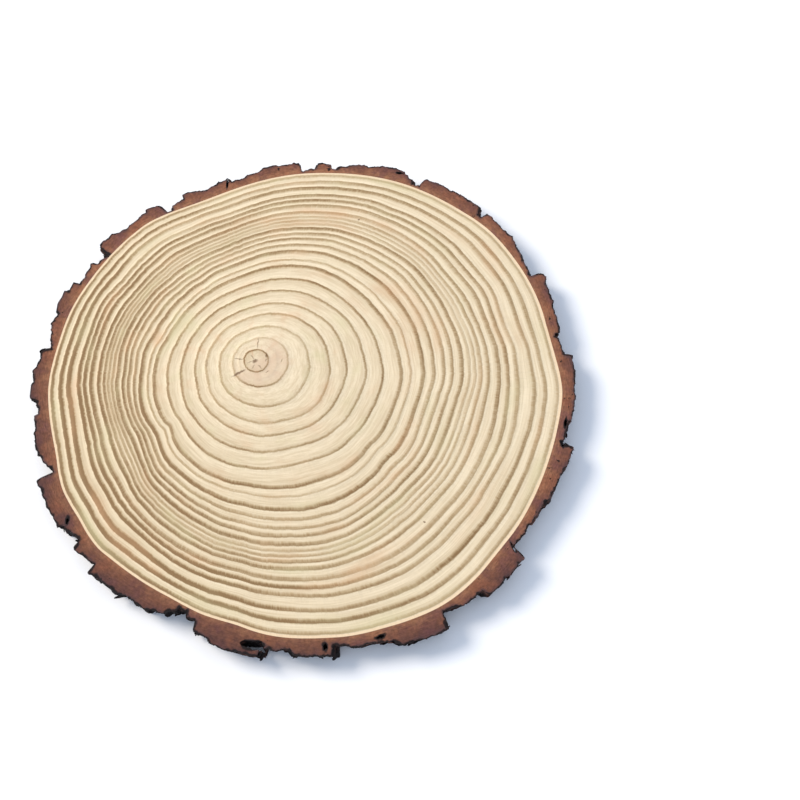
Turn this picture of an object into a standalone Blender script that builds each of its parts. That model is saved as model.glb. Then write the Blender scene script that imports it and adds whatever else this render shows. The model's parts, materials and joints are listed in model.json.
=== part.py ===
"""Wood slice: a flat disc sawn from a pine trunk, with its bark still on.

Metres, +Z up. The origin is the middle of the slice's box, on the flat underside.
The wood is one turned disc. Its growth rings stand as low ridges on the top, and a
formula pulls them off centre, out to the uneven edge and into waves round old knots.
The bark is one ring of scales of uneven thickness round the wood, with open slits
where scales have come apart.
"""

import math

import bmesh
import bpy
import numpy as np

MM = 0.001

# Driving dimensions
THICKNESS = 15 * MM
WOOD_RADIUS = 142 * MM
BARK_RADIUS = 150 * MM
SEAM = 0.3 * MM
RING_RELIEF = 0.5 * MM
RING_STEP = 0.004
WOOD_STEPS = 90

# The pith lies this far from the middle of the outline
PITH = np.array((-29.0, 17.8)) * MM

# The edge of the wood, as angle in degrees and radius in millimetres, where it bends
WOOD_EDGE = (
    (0, 144.1), (8, 142.5), (15, 142.1), (20, 143.2), (27, 144.4), (35, 145.3), (45, 146.0),
    (52, 144.8), (60, 144.0), (67, 143.4), (75, 142.1), (85, 140.2), (95, 138.9), (105, 137.1),
    (112, 136.2), (118, 136.5), (122, 137.8), (127, 140.2), (131, 142.1), (138, 142.9),
    (150, 143.5), (160, 144.4), (168, 144.0), (180, 144.5), (187, 143.2), (195, 142.3),
    (198, 142.6), (202, 144.2), (206, 144.0), (212, 143.1), (219, 143.6), (225, 141.5),
    (235, 139.1), (240, 138.3), (248, 138.7), (256, 138.5), (262, 140.5), (267, 141.3),
    (275, 141.9), (281, 142.8), (288, 143.1), (294, 144.0), (302, 145.0), (310, 143.9),
    (318, 141.8), (326, 141.6), (335, 141.2), (344, 141.5), (352, 142.6),
)

# Where each year's growth ends, from 0 at the pith to 1 at the bark
RING_ENDS = (
    0.050, 0.078, 0.115, 0.181, 0.245, 0.297, 0.360, 0.415, 0.482, 0.515, 0.558, 0.592,
    0.620, 0.648, 0.678, 0.700, 0.720, 0.742, 0.768, 0.803, 0.833, 0.862, 0.905, 0.945,
)

# Waves in the rings: angle round the pith, its spread, ring, its spread, push outward
RING_WAVES = (
    (7, 9, 0.70, 0.09, 0.015), (4, 14, 0.33, 0.08, 0.010), (27, 8, 0.77, 0.06, -0.010),
    (34, 13, 0.48, 0.08, -0.020), (76, 30, 0.68, 0.25, 0.021), (130, 8, 0.62, 0.12, -0.025),
    (154, 10, 0.53, 0.06, -0.016), (157, 5, 0.86, 0.05, 0.011), (190, 14, 0.45, 0.08, 0.013),
    (206, 6, 0.44, 0.07, 0.013), (212, 13, 0.80, 0.11, -0.020), (216, 4.5, 0.65, 0.085, -0.026),
    (247, 11, 0.46, 0.07, 0.020), (256, 9, 0.72, 0.13, 0.014), (295, 14, 0.38, 0.08, -0.022),
    (314, 11, 0.70, 0.13, -0.020), (322, 2.5, 0.52, 0.05, -0.005), (328, 12, 0.25, 0.03, 0.010),
    (344, 10, 0.65, 0.11, -0.018),
)

# The bark's scales going round: where each starts in degrees, and how thick it is in
# millimetres at its start and at its end, where the next scale begins
BARK_SCALES = (
    (0.0, 7.9, 10.0), (8.3, 6.0, 4.8), (11.5, 4.4, 6.8), (14.5, 6.8, 8.2), (23.8, 9.3, 10.3),
    (28.8, 3.0, 6.5), (37.5, 6.8, 7.8), (47.4, 3.8, 3.4), (48.8, 8.4, 9.6), (57.0, 9.2, 8.6),
    (63.7, 3.0, 2.0), (65.3, 5.6, 6.8), (67.8, 9.0, 8.3), (74.0, 7.3, 6.9), (80.2, 6.2, 5.2),
    (83.8, 3.4, 3.4), (85.0, 6.4, 7.2), (88.6, 3.5, 1.6), (92.2, 7.8, 8.2), (101.6, 7.0, 7.0),
    (105.8, 5.8, 4.8), (109.5, 8.4, 8.2), (112.6, 6.9, 7.3), (117.5, 8.5, 9.8),
    (121.5, 6.6, 3.8), (125.0, 2.0, 1.4), (126.5, 7.6, 9.0), (130.6, 7.2, 5.6),
    (134.8, 6.0, 8.4), (139.0, 9.0, 10.2), (143.6, 1.6, 2.8), (147.5, 6.6, 5.2),
    (150.6, 5.0, 3.6), (153.4, 8.2, 6.6), (155.6, 9.2, 8.6), (161.4, 6.8, 8.4),
    (164.6, 8.0, 3.9), (169.9, 8.2, 7.9), (174.8, 9.6, 10.4), (182.3, 7.0, 6.8),
    (185.6, 8.8, 10.4), (195.4, 9.0, 5.6), (198.3, 3.6, 3.2), (199.5, 12.5, 11.2),
    (206.0, 11.8, 12.0), (211.5, 9.3, 5.4), (216.4, 10.6, 8.4), (222.6, 13.8, 12.8),
    (230.5, 12.0, 12.0), (236.4, 11.0, 9.5), (240.4, 8.8, 5.6), (242.6, 3.0, 2.8),
    (244.6, 5.7, 5.4), (247.5, 10.5, 12.0), (251.5, 13.2, 14.8), (257.0, 13.9, 13.0),
    (261.8, 8.2, 6.9), (268.7, 9.9, 10.6), (276.8, 5.2, 6.0), (280.5, 7.2, 6.4),
    (285.4, 7.6, 8.4), (289.0, 10.8, 13.4), (300.4, 3.2, 4.8), (303.5, 5.9, 7.6),
    (310.4, 12.0, 13.2), (321.6, 4.6, 6.4), (333.6, 8.4, 9.2), (341.0, 10.2, 11.8),
    (347.0, 5.6, 6.0), (353.0, 7.4, 7.8),
)

# Open slits in the bark: angle, distance from the wood, length along the bark and width
# in millimetres, and how far the length turns away from the bark's run in degrees
BARK_SLITS = (
    (13.3, 4.6, 3.4, 1.6, 35), (69.2, 6.4, 3.8, 1.3, 20), (110.4, 5.4, 5.6, 1.2, 65),
    (211.0, 5.8, 3.4, 1.4, -35), (260.4, 7.2, 12.0, 5.0, 4), (275.3, 4.8, 2.0, 3.2, 0),
    (286.9, 3.9, 4.6, 1.7, 5), (321.2, 4.8, 5.6, 1.1, 65), (333.6, 7.0, 2.2, 1.8, 0),
    (347.4, 5.0, 4.4, 1.6, 0), (352.2, 3.9, 5.4, 1.4, 0),
)

# The bark's outer side, as heights from 1 at the top cut to 0 at the underside
BARK_LEVELS = (1.0, 0.8, 0.55, 0.28, 0.0)
BARK_UNDERCUT = 1.0 * MM
BARK_SLOPE = 2.6 * MM
BARK_THINNEST = 1.3 * MM
BARK_RAGGED = 0.3
LEAN_SHARE = 0.3
SHELF_DEEPEST = -1.2 * MM
SHELF_PROUDEST = 0.7 * MM
STATION_ANGLE = 1.1
SCALE_EDGE_ANGLE = 0.14
SLIT_SIDES = 8
WOOD_SHARP_ANGLE = 20
BARK_SHARP_ANGLE = 50
SEED = 7


def clear_scene():
    """Remove the objects that a new file starts with."""
    for old in list(bpy.data.objects):
        bpy.data.objects.remove(old, do_unlink=True)


def new_collection(name):
    """Make a collection under the scene's own."""
    collection = bpy.data.collections.new(name)
    bpy.context.scene.collection.children.link(collection)
    return collection


def finish(name, colour, roughness):
    """Make a plain Principled material."""
    material = bpy.data.materials.new(name)
    material.use_nodes = True
    shader = material.node_tree.nodes["Principled BSDF"]
    shader.inputs["Base Color"].default_value = (*colour, 1.0)
    shader.inputs["Roughness"].default_value = roughness
    shader.inputs["Metallic"].default_value = 0.0
    return material


def smooth_radius(angles):
    """Radius of the wood's edge at angles in degrees, on a smooth curve through its knots."""
    knots = np.array(WOOD_EDGE)
    turn = np.concatenate((knots[-2:, 0] - 360, knots[:, 0], knots[:2, 0] + 360))
    size = np.concatenate((knots[-2:, 1], knots[:, 1], knots[:2, 1])) * MM
    slope = np.gradient(size, turn)
    start = np.searchsorted(turn, angles, side="right") - 1
    span = turn[start + 1] - turn[start]
    along = (angles - turn[start]) / span
    rest = 1 - along
    ends = size[start] * rest**2 * (1 + 2 * along) + size[start + 1] * along**2 * (3 - 2 * along)
    tilts = span * along * rest * (slope[start] * rest - slope[start + 1] * along)
    return ends + tilts


def direction(angles):
    """Unit vectors in the plane at angles in degrees."""
    turn = np.radians(angles)
    return np.stack((np.cos(turn), np.sin(turn)), axis=-1)


def wood_corners():
    """The corners of the wood's edge, one for each step of its turning."""
    angles = np.arange(WOOD_STEPS) * 360 / WOOD_STEPS
    return direction(angles) * smooth_radius(angles)[:, None]


def on_wood_edge(angles):
    """Points on the straight edges between the wood's corners, at angles in degrees."""
    corners = wood_corners()
    place = (np.asarray(angles) % 360) * WOOD_STEPS / 360
    first = np.floor(place).astype(int) % WOOD_STEPS
    part = (place - np.floor(place))[..., None]
    return corners[first] * (1 - part) + corners[(first + 1) % WOOD_STEPS] * part


def ring_push(ring, turn):
    """How far the waves push a ring outward, in ring units, at an angle round the pith."""
    push = np.zeros_like(ring)
    for angle, spread, middle, reach, size in RING_WAVES:
        away = (turn - angle + 180) % 360 - 180
        push += size * np.exp(-0.5 * (away / spread) ** 2 - 0.5 * ((ring - middle) / reach) ** 2)
    return push * np.minimum(1, 8 * (1 - ring)) * np.minimum(1, 5 * ring)


def turned(name, profile, steps, ring_shaped):
    """Turn a profile in the XZ plane once round Z.

    The profile runs outward over the top and down the outer side. It ends on the axis,
    or back at its first point where the result is ring-shaped.
    """
    edges = [(i, i + 1) for i in range(len(profile) - 1)]
    if ring_shaped:
        edges.append((len(profile) - 1, 0))
    line = bpy.data.meshes.new(name + "_profile")
    line.from_pydata([(radius, 0, height) for radius, height in profile], edges, [])
    source = bpy.data.objects.new(name + "_profile", line)
    bpy.context.scene.collection.objects.link(source)
    screw = source.modifiers.new("turn", "SCREW")
    screw.axis = "Z"
    screw.angle = math.tau
    screw.steps = steps
    screw.render_steps = steps
    screw.use_merge_vertices = True
    screw.merge_threshold = 0.00001
    bpy.context.view_layer.update()
    evaluated = source.evaluated_get(bpy.context.evaluated_depsgraph_get())
    mesh = bpy.data.meshes.new_from_object(evaluated)
    mesh.name = name
    bpy.data.objects.remove(source)
    bpy.data.meshes.remove(line)
    return mesh


def points_of(mesh):
    """The mesh's points as an array of rows."""
    flat = np.zeros(len(mesh.vertices) * 3, dtype=np.float32)
    mesh.vertices.foreach_get("co", flat)
    return flat.reshape(-1, 3).astype(float)


def set_points(mesh, points):
    """Move the mesh's points to the rows of an array."""
    mesh.vertices.foreach_set("co", points.astype(np.float32).ravel())
    mesh.update()


def place(name, mesh, material, collection, sharp_angle):
    """Put a finished mesh in the scene as one named object, smooth but for its sharp edges."""
    mesh.shade_smooth()
    mesh.set_sharp_from_angle(angle=math.radians(sharp_angle))
    mesh.materials.clear()
    mesh.materials.append(material)
    obj = bpy.data.objects.new(name, mesh)
    collection.objects.link(obj)
    return obj


def wood_profile():
    """Half of the disc's section: each ring rises to its ridge and drops just past it."""
    profile = [(0.0, THICKNESS - RING_RELIEF)]
    for end in RING_ENDS:
        profile.append((WOOD_RADIUS * (end - RING_STEP / 2), THICKNESS))
        profile.append((WOOD_RADIUS * (end + RING_STEP / 2), THICKNESS - RING_RELIEF))
    profile += [(WOOD_RADIUS, THICKNESS), (WOOD_RADIUS, 0.0), (0.0, 0.0)]
    return profile


def wood_mesh(middle):
    """The wood: a turned disc, pulled off centre and out to the real edge."""
    mesh = turned("wood", wood_profile(), WOOD_STEPS, ring_shaped=False)
    points = points_of(mesh)
    ring = np.hypot(points[:, 0], points[:, 1]) / WOOD_RADIUS
    step = np.rint(np.arctan2(points[:, 1], points[:, 0]) / math.tau * WOOD_STEPS).astype(int)
    reach = wood_corners()[step % WOOD_STEPS] - PITH
    turn = np.degrees(np.arctan2(reach[:, 1], reach[:, 0]))
    share = ring + ring_push(ring, turn)
    points[:, :2] = PITH + reach * share[:, None] - middle
    set_points(mesh, points)
    return mesh


def bark_stations(rng):
    """The upright rows of the bark, going round once.

    Each row is its angle at the top and at the underside in degrees, and its thickness
    at each level. A scale keeps its own step in thickness part of the way down, and its
    ends lean a little, so scales on the outer side look laid over each other. The outer
    side slopes in most at the front, because the trunk stood at a slant to the saw.
    """
    starts = [scale[0] for scale in BARK_SCALES] + [360.0]
    spans = np.diff(starts)
    drift = [rng.uniform(-LEAN_SHARE, LEAN_SHARE) * min(spans[i - 1], spans[i]) for i in range(len(spans))]
    drift.append(drift[0])
    rows = []
    for i, (start, first, last) in enumerate(BARK_SCALES):
        count = max(2, round(spans[i] / STATION_ANGLE) + 1)
        shelf_level = rng.integers(1, len(BARK_LEVELS))
        shelf = rng.uniform(SHELF_DEEPEST, SHELF_PROUDEST)
        for along in np.linspace(0, 1, count):
            top = start + SCALE_EDGE_ANGLE + (spans[i] - 2 * SCALE_EDGE_ANGLE) * along
            lean = drift[i] * (1 - along) + drift[i + 1] * along
            ragged = rng.uniform(-BARK_RAGGED, BARK_RAGGED)
            thick = (first * (1 - along) + last * along + ragged) * MM
            undercut = BARK_UNDERCUT + BARK_SLOPE * max(0, -math.sin(math.radians(top)))
            sizes = [
                max(BARK_THINNEST, thick + shelf * (level >= shelf_level) - undercut * (1 - height))
                for level, height in enumerate(BARK_LEVELS)
            ]
            rows.append((top, top + lean, sizes))
    return rows


def bark_points():
    """Points of the bark's outer side by row and level, and of its inner side by row."""
    rows = bark_stations(np.random.default_rng(SEED))
    top = np.array([row[0] for row in rows])
    foot = np.array([row[1] for row in rows])
    sizes = np.array([row[2] for row in rows])
    inner = on_wood_edge(top) + direction(top) * SEAM
    outer = np.zeros((len(rows), len(BARK_LEVELS), 2))
    for level, height in enumerate(BARK_LEVELS):
        angle = top * height + foot * (1 - height)
        outer[:, level] = on_wood_edge(angle) + direction(angle) * sizes[:, level, None]
    return outer, inner


def bark_mesh(outer, inner, middle):
    """The bark: a turned ring with one step for each row, moved out to the scales."""
    profile = [(BARK_RADIUS, height * THICKNESS) for height in BARK_LEVELS]
    profile += [(WOOD_RADIUS, 0.0), (WOOD_RADIUS, THICKNESS)]
    steps = len(inner)
    mesh = turned("bark", profile, steps, ring_shaped=True)
    points = points_of(mesh)
    row = np.rint(np.arctan2(points[:, 1], points[:, 0]) / math.tau * steps).astype(int) % steps
    is_outer = np.hypot(points[:, 0], points[:, 1]) > (WOOD_RADIUS + BARK_RADIUS) / 2
    heights = np.array(BARK_LEVELS) * THICKNESS
    level = np.abs(points[:, 2, None] - heights).argmin(axis=1)
    points[:, :2] = np.where(is_outer[:, None], outer[row, level], inner[row]) - middle
    set_points(mesh, points)
    return mesh


def slit_cutter(number, angle, depth, length, width, turn, middle, collection):
    """One slit: an upright oval bar that passes through the bark from top to bottom."""
    form = bmesh.new()
    bmesh.ops.create_cone(
        form, cap_ends=True, segments=SLIT_SIDES, radius1=0.5, radius2=0.5, depth=2 * THICKNESS)
    bmesh.ops.scale(form, vec=(length * MM, width * MM, 1), verts=form.verts)
    mesh = bpy.data.meshes.new(f"slit_{number}")
    form.to_mesh(mesh)
    form.free()
    cutter = bpy.data.objects.new(f"slit_{number}", mesh)
    spot = on_wood_edge(angle) + direction(angle) * depth * MM - middle
    cutter.location = (spot[0], spot[1], THICKNESS / 2)
    cutter.rotation_euler = (0, 0, math.radians(angle + 90 + turn))
    cutter.hide_render = True
    cutter.display_type = "WIRE"
    collection.objects.link(cutter)


def cut_slits(bark, middle):
    """Cut every slit out of the bark."""
    cutters = new_collection("cutters")
    for number, slit in enumerate(BARK_SLITS):
        slit_cutter(number, *slit, middle, cutters)
    cut = bark.modifiers.new("slits", "BOOLEAN")
    cut.operation = "DIFFERENCE"
    cut.operand_type = "COLLECTION"
    cut.collection = cutters
    cut.solver = "EXACT"


def main():
    """Build the wood and the bark round it."""
    clear_scene()
    parts = new_collection("wood_slice")
    outer, inner = bark_points()
    middle = (outer.reshape(-1, 2).min(axis=0) + outer.reshape(-1, 2).max(axis=0)) / 2
    wood_finish = finish("sawn_pine", (0.80, 0.62, 0.38), 0.55)
    bark_finish = finish("pine_bark", (0.19, 0.085, 0.05), 0.85)
    place("wood", wood_mesh(middle), wood_finish, parts, WOOD_SHARP_ANGLE)
    bark = place("bark", bark_mesh(outer, inner, middle), bark_finish, parts, BARK_SHARP_ANGLE)
    cut_slits(bark, middle)


main()
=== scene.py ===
"""Wood slice: the looks of a pine disc and its bark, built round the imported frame.

Metres, +Z up, in the frame's own place. The wood is one disc whose growth rings run
round an off-centre pith. The bark is one ring of scales round it, with open slits, and
thin flakes lie on its outer side.
"""

import json
import logging
import math
from dataclasses import dataclass
from enum import Enum

import bmesh
import bpy
import numpy as np
from mathutils import Matrix, Vector
from mathutils.bvhtree import BVHTree
from mathutils.kdtree import KDTree

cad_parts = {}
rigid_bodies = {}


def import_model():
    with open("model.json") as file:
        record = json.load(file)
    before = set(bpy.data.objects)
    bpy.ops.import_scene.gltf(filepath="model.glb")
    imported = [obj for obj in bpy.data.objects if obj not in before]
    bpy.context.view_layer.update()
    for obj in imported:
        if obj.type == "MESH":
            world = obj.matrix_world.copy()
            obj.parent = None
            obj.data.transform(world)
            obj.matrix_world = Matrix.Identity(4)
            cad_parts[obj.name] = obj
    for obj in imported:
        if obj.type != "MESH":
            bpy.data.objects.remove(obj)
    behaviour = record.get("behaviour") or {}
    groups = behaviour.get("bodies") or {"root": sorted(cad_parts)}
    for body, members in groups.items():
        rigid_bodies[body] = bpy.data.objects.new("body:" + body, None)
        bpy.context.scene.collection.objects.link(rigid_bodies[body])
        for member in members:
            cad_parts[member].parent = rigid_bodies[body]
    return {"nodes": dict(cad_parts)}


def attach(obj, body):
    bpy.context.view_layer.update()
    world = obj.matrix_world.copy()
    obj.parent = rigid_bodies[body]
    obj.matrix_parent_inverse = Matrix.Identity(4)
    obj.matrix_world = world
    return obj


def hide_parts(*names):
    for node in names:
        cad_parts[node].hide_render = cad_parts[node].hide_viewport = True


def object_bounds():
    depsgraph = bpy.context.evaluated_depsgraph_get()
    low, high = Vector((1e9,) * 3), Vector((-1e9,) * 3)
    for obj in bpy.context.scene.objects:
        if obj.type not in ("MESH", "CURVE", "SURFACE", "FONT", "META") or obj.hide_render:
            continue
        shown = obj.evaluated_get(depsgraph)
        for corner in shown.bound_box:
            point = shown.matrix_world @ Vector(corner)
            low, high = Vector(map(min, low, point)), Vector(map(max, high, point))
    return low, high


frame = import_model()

CAD_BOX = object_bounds()
MM = 0.001
BODY = "root"
LOG = logging.getLogger("wood_slice")

Material = bpy.types.Material
Mesh = bpy.types.Mesh
NodeTree = bpy.types.NodeTree
Object = bpy.types.Object
Socket = bpy.types.NodeSocket
Given = bpy.types.bpy_prop_collection
Point = tuple[float, float]
Row = tuple[int, float, float]

# Each year's growth: where it ends, from 0 at the pith to 1 at the bark, how dark its end
# is, and how wide the dark band is in millimetres
YEARS = (
    (0.050, 0.74, 0.9), (0.078, 0.10, 1.2), (0.115, 0.26, 1.2), (0.181, 0.40, 1.5),
    (0.245, 0.42, 1.5), (0.297, 0.55, 1.4), (0.361, 0.61, 1.4), (0.420, 0.62, 1.5),
    (0.486, 0.62, 2.1), (0.516, 0.42, 1.4), (0.562, 0.69, 2.3), (0.595, 0.56, 2.0),
    (0.626, 0.59, 2.0), (0.653, 0.63, 2.1), (0.684, 0.69, 2.3), (0.705, 0.44, 1.9),
    (0.723, 0.42, 1.8), (0.744, 0.56, 2.0), (0.770, 0.69, 2.3), (0.808, 0.65, 2.5),
    (0.837, 0.72, 2.3), (0.866, 0.70, 2.3), (0.915, 0.83, 2.5), (0.952, 0.83, 2.4),
    (0.990, 0.66, 2.0), (1.000, 0.00, 0.5),
)

# Where a year's end is darker or paler: its end, angle round the pith, spread and change
YEAR_ARCS = (
    (0.115, 275, 42, 0.55), (0.115, 20, 30, 0.15), (0.050, 120, 26, 0.30), (0.050, 32, 10, 0.35),
    (0.050, 280, 26, 0.25), (0.181, 270, 40, 0.10), (0.245, 20, 24, 0.22), (0.915, 228, 24, 0.12),
    (0.866, 235, 26, 0.10), (0.915, 120, 20, -0.20), (0.866, 122, 18, -0.15),
    (0.915, 285, 12, -0.25), (0.770, 70, 18, -0.14), (0.744, 70, 20, -0.14),
    (0.595, 175, 16, -0.15), (0.562, 300, 40, 0.12),
)

# Waves in the rings: angle round the pith, its spread, ring, its spread, push outward
RING_WAVES = (
    (7, 9, 0.70, 0.09, 0.015), (4, 14, 0.33, 0.08, 0.010), (27, 8, 0.77, 0.06, -0.010),
    (34, 13, 0.48, 0.08, -0.020), (76, 30, 0.68, 0.25, 0.021), (130, 8, 0.62, 0.12, -0.025),
    (154, 10, 0.53, 0.06, -0.016), (157, 5, 0.86, 0.05, 0.011), (190, 14, 0.45, 0.08, 0.013),
    (206, 6, 0.44, 0.07, 0.013), (212, 13, 0.80, 0.11, -0.020), (216, 4.5, 0.65, 0.085, -0.026),
    (247, 11, 0.46, 0.07, 0.020), (256, 9, 0.72, 0.13, 0.014), (295, 14, 0.38, 0.08, -0.022),
    (314, 11, 0.70, 0.13, -0.020), (322, 2.5, 0.52, 0.05, -0.005), (328, 12, 0.25, 0.03, 0.010),
    (344, 10, 0.65, 0.11, -0.018), (221, 2.5, 0.50, 0.05, -0.014), (208, 5, 0.57, 0.03, 0.010),
    (224, 4, 0.70, 0.08, -0.010),
    (122, 50, 0.05, 0.022, 0.066), (315, 50, 0.05, 0.022, -0.026), (90, 45, 0.115, 0.02, 0.012),
    (270, 45, 0.115, 0.02, -0.014), (310, 35, 0.115, 0.02, -0.010),
    (108, 6, 0.33, 0.07, 0.008), (126, 8, 0.33, 0.05, -0.004), (217, 5, 0.39, 0.04, 0.005),
    (266, 8, 0.42, 0.04, 0.004), (14, 3, 0.71, 0.06, -0.006), (37, 5, 0.66, 0.08, 0.005),
    (54, 4, 0.60, 0.09, -0.005), (64, 4, 0.66, 0.06, 0.003), (122, 3, 0.58, 0.06, -0.005),
    (131, 3, 0.60, 0.08, 0.005), (145, 6, 0.75, 0.04, -0.006), (164, 4, 0.53, 0.04, -0.006),
    (174, 4, 0.62, 0.12, 0.005), (185, 4, 0.62, 0.07, -0.008), (200, 5, 0.53, 0.05, 0.005),
    (231, 5, 0.74, 0.07, -0.006), (269, 5, 0.70, 0.07, 0.007), (307, 6, 0.72, 0.07, -0.008),
    (299, 4, 0.62, 0.04, 0.004), (3, 2.5, 0.90, 0.06, 0.007), (11, 3, 0.86, 0.07, -0.006),
    (19, 3, 0.87, 0.08, 0.005), (29, 4, 0.87, 0.06, -0.005), (52, 3, 0.85, 0.04, -0.006),
    (110, 4, 0.88, 0.08, 0.006), (117, 3, 0.86, 0.06, -0.004), (136, 4, 0.93, 0.03, 0.006),
    (147, 4, 0.91, 0.05, -0.008), (147, 5, 0.83, 0.03, -0.004), (168, 5, 0.81, 0.04, 0.005),
    (198, 4, 0.92, 0.04, -0.009), (207, 3, 0.92, 0.05, 0.006), (242, 5, 0.91, 0.035, -0.010),
    (233, 4, 0.84, 0.04, -0.005), (254, 4, 0.92, 0.05, 0.007), (278, 4, 0.91, 0.05, -0.008),
    (309, 3, 0.91, 0.04, -0.005), (331, 4, 0.90, 0.05, -0.006), (342, 4, 0.85, 0.04, 0.006),
    (354, 4, 0.82, 0.04, -0.007), (347, 3, 0.91, 0.03, 0.006),
)

# Tints in the wood: angle round the pith, its spread, ring, its spread, and the tint,
# above 0 towards orange and below 0 towards green
TINTS = (
    (22, 14, 0.53, 0.03, 0.8), (152, 10, 0.44, 0.05, -0.8), (5, 14, 0.22, 0.03, -0.7),
    (165, 6, 0.51, 0.02, 0.6), (75, 14, 0.74, 0.04, 0.5), (238, 5, 0.945, 0.012, 0.35),
    (300, 20, 0.93, 0.03, -0.4), (20, 40, 0.08, 0.03, 0.4), (120, 20, 0.14, 0.03, -0.4),
    (240, 6, 0.905, 0.012, 0.35), (222, 5, 0.905, 0.012, 0.25),
    (180, 70, 0.975, 0.012, -0.35), (0, 70, 0.975, 0.012, -0.3), (330, 40, 0.25, 0.02, 0.35),
)

# Open slits in the bark: angle, distance from the wood, length along the bark and width
# in millimetres, and how far the length turns away from the bark's run in degrees
BARK_SLITS = (
    (13.3, 4.6, 3.4, 1.6, 35), (69.2, 6.4, 3.8, 1.3, 20), (110.4, 5.4, 5.6, 1.2, 65),
    (211.0, 5.8, 3.4, 1.4, -35), (260.4, 7.2, 12.0, 5.0, 4), (275.3, 4.8, 2.0, 3.2, 0),
    (286.9, 3.9, 4.6, 1.7, 5), (321.2, 4.8, 5.6, 1.1, 65), (333.6, 7.0, 2.2, 1.8, 0),
    (347.4, 5.0, 4.4, 1.6, 0), (352.2, 3.9, 5.4, 1.4, 0),
)


class Slot(Enum):
    """The record's material slots."""

    WOOD = "sawn_pine"
    BARK = "pine_bark"


@dataclass(frozen=True)
class Tone:
    """A colour as a screen shows it, each part from 0 to 255."""

    red: float
    green: float
    blue: float

    def linear(self) -> tuple[float, float, float, float]:
        """The colour as a shader takes it."""
        parts = (self.red / 255, self.green / 255, self.blue / 255)
        bent = (p / 12.92 if p <= 0.04045 else ((p + 0.055) / 1.055) ** 2.4 for p in parts)
        return (*bent, 1.0)


Input = float | tuple | Tone | Socket


@dataclass(frozen=True)
class Mark:
    """A dark spot or short crack in the wood's face. A spot is the wood's own colour; a crack's
    darkness is painted shade of its gap.

    The place is an angle round the pith in degrees and a ring. The sizes are half
    lengths in millimetres, and the turn is from the ring's own outward line.
    """

    angle: float
    ring: float
    long: float
    wide: float
    turn: float
    depth: float


MARKS = (
    Mark(0, 0.0, 1.7, 1.3, 30, 0.80), Mark(84, 0.085, 3.8, 0.36, 0, 0.6),
    Mark(172, 0.075, 3.0, 0.50, 0, 0.65), Mark(219.5, 0.092, 5.0, 0.85, -9, 0.8),
    Mark(28, 0.043, 1.5, 0.55, 62, 0.8), Mark(5, 0.038, 1.0, 0.45, 80, 0.6),
    Mark(1, 0.090, 1.6, 0.32, 60, 0.6), Mark(318, 0.062, 1.4, 0.40, 60, 0.6),
    Mark(120, 0.022, 2.0, 0.50, 10, 0.5), Mark(255, 0.026, 2.0, 0.50, -10, 0.45),
    Mark(190, 0.024, 2.2, 0.45, 15, 0.4), Mark(310, 0.028, 2.0, 0.45, 0, 0.5),
    Mark(183, 0.236, 3.2, 0.9, 84, 0.35),
    Mark(57.5, 0.755, 0.9, 0.6, 0, 0.85), Mark(315, 0.782, 0.9, 0.55, 20, 0.8),
)


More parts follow.
